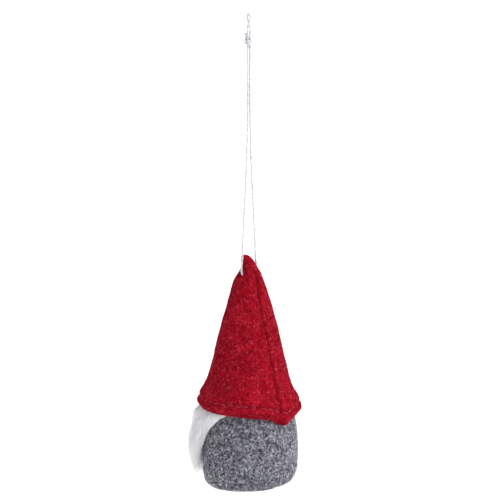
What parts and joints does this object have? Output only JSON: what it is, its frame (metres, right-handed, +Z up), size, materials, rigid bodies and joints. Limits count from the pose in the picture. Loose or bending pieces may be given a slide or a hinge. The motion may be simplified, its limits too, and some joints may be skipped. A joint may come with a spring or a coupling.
{
  "type": "hanging gnome ornament",
  "caption": "Hanging felt gnome ornament: a pointed hat pulled down over a soft round body, with a fur beard and bead nose, on a thin looped cord.",
  "frame": {"origin": "inside top of the small eye at the top of the hanging cord, where a hook bears", "axes": "+Z up along the cord; -Y towards the gnome's front (nose and beard)"},
  "size_m": [0.0488, 0.0524, 0.2203],
  "materials": {
    "red_felt": "pressed wool felt, matt, with lighter and darker fibres",
    "grey_felt": "heather grey pressed felt, dark and light fibres mixed",
    "white_fur": "long white faux fur, soft sheen",
    "backing_cloth": "knitted backing of the faux fur",
    "fibre_fill": "loose fibre filling",
    "bead_wood": "plain sanded wood",
    "white_cord": "twisted cotton cord",
    "red_thread": "matt sewing thread",
    "grey_thread": "matt sewing thread"
  },
  "bodies": {
    "hanger": {"cord_eye": "white_cord", "cord_knot": "white_cord"},
    "strands": {"cord_strands": "white_cord"},
    "figure": {"hat_felt": "red_felt", "hat_filling": "fibre_fill", "hat_seam_thread": "red_thread", "hat_hem_stitching": "red_thread", "body_felt": "grey_felt", "body_filling": "fibre_fill", "body_seam_thread": "grey_thread", "base_felt": "grey_felt", "base_seam_thread": "grey_thread", "beard_backing": "backing_cloth", "beard_pile": "white_fur", "nose_bead": "bead_wood"}
  },
  "joints": [
    {"name": "cord_twist", "type": "hinge", "parent": "hanger", "child": "strands", "pos_m": [0, 0, -0.0138], "axis": [0, 0, 1], "range_deg": [-180, 180]},
    {"name": "figure_swing", "type": "hinge", "parent": "strands", "child": "figure", "pos_m": [0, 0, -0.1198], "axis": [0.866, -0.5, 0], "range_deg": [-60, 60]}
  ]
}
